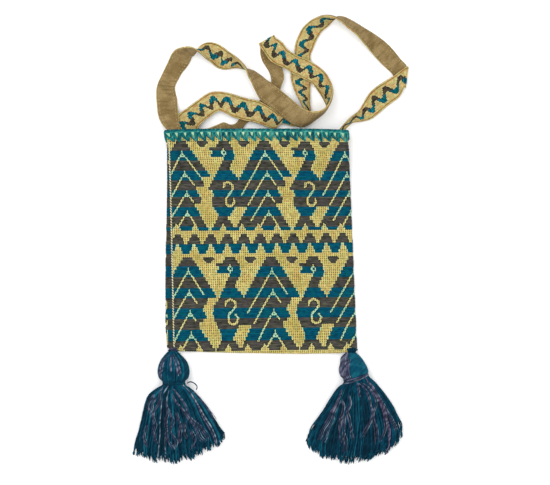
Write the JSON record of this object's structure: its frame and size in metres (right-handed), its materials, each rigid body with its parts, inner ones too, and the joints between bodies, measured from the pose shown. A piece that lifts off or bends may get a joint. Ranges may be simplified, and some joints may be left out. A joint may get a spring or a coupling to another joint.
{
  "type": "flat woven shoulder bag",
  "caption": "Flat rectangular handwoven shoulder bag with brocaded birds and stepped trees, an edged mouth, a long lined strap and a yarn tassel at each bottom corner.",
  "frame": {"origin": "on the flat back of the bag, midway across and halfway up its height, where it rests on the ground", "axes": "+X to the right seen from the front, +Y from the tassels towards the mouth and the strap, +Z out of the bag's front"},
  "size_m": [0.3295, 0.5334, 0.0252],
  "materials": {
    "woven_body": "handwoven cotton with brocaded teal and brown-grey weft",
    "side_seam": "cotton sewing thread",
    "bottom_seam": "cotton sewing thread",
    "mouth_edging": "twisted yarn in blanket stitch",
    "strap_band": "handwoven cotton band with a zigzag",
    "strap_lining": "plain cotton cloth with edge stitching",
    "tassel_yarn": "loose twisted yarn",
    "grey_yarn": "loose twisted yarn"
  },
  "bodies": {
    "bag": {"woven_body": "woven_body", "side_seam": "side_seam", "bottom_seam": "bottom_seam", "mouth_edging": "mouth_edging", "strap_band": "strap_band", "strap_lining_short": "strap_lining", "strap_lining_long": "strap_lining"},
    "left_tie": {"left_tie": "tassel_yarn"},
    "right_tie": {"right_tie": "tassel_yarn"},
    "left_tassel": {"left_tassel_yarn": "tassel_yarn", "left_tassel_binding": "tassel_yarn", "left_loose_end": "tassel_yarn"},
    "right_tassel": {"right_tassel_yarn": "tassel_yarn", "right_tassel_binding": "grey_yarn"}
  },
  "joints": [
    {"name": "left_tie_lift", "type": "hinge", "parent": "bag", "child": "left_tie", "pos_m": [-0.10536, -0.1326, 0.0029], "axis": [-1, 0, 0], "range_deg": [0, 90]},
    {"name": "left_tassel_swing", "type": "hinge", "parent": "left_tie", "child": "left_tassel", "pos_m": [-0.10536, -0.1326, 0.0029], "axis": [0, 0, 1], "range_deg": [-15, 15]},
    {"name": "right_tie_lift", "type": "hinge", "parent": "bag", "child": "right_tie", "pos_m": [0.10968, -0.13524, 0.0029], "axis": [-1, 0, 0], "range_deg": [0, 90]},
    {"name": "right_tassel_swing", "type": "hinge", "parent": "right_tie", "child": "right_tassel", "pos_m": [0.10968, -0.13524, 0.0029], "axis": [0, 0, 1], "range_deg": [-15, 15]}
  ]
}
